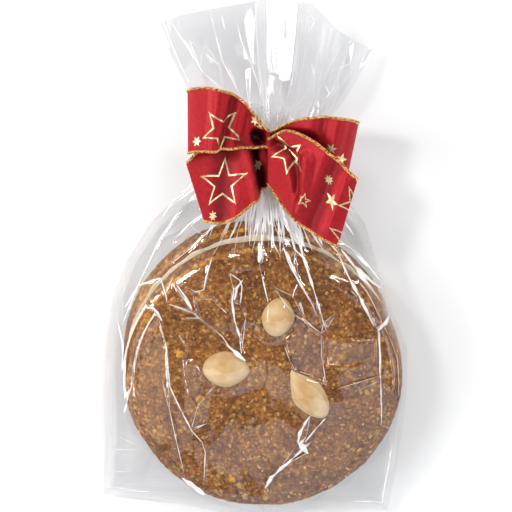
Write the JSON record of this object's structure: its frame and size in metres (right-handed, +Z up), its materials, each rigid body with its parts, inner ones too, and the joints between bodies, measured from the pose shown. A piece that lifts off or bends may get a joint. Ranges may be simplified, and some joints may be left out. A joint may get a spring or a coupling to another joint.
{
  "type": "bag of lebkuchen",
  "caption": "Clear gift bag of large round lebkuchen with almonds, gathered and tied at the neck with a starred wired ribbon bow, lying on its back.",
  "frame": {"origin": "on the table under the middle of the bag, which lies on its back", "axes": "+Z up, towards the shown side; +Y from the bottom seam to the open, fanned top; +X to the viewer's right when looking down with the top of the bag at the top"},
  "size_m": [0.1386, 0.235, 0.0415],
  "materials": {
    "film": "clear, glossy, crinkled cellophane",
    "ribbon": "fine red taffeta with gold foil stars",
    "gold": "gold thread over the wired edges, and foil",
    "lebkuchen": "baked nut dough, matte and crumbly",
    "wafer": "dry pale baking wafer",
    "almond": "blanched, baked, half matte"
  },
  "bodies": {
    "root": {"bag": "film", "ribbon_band": "ribbon", "bow_knot": "ribbon", "bow_loop_left": "ribbon", "bow_loop_right": "ribbon", "bow_tail_left": "ribbon", "bow_tail_right": "ribbon"}
  },
  "joints": []
}
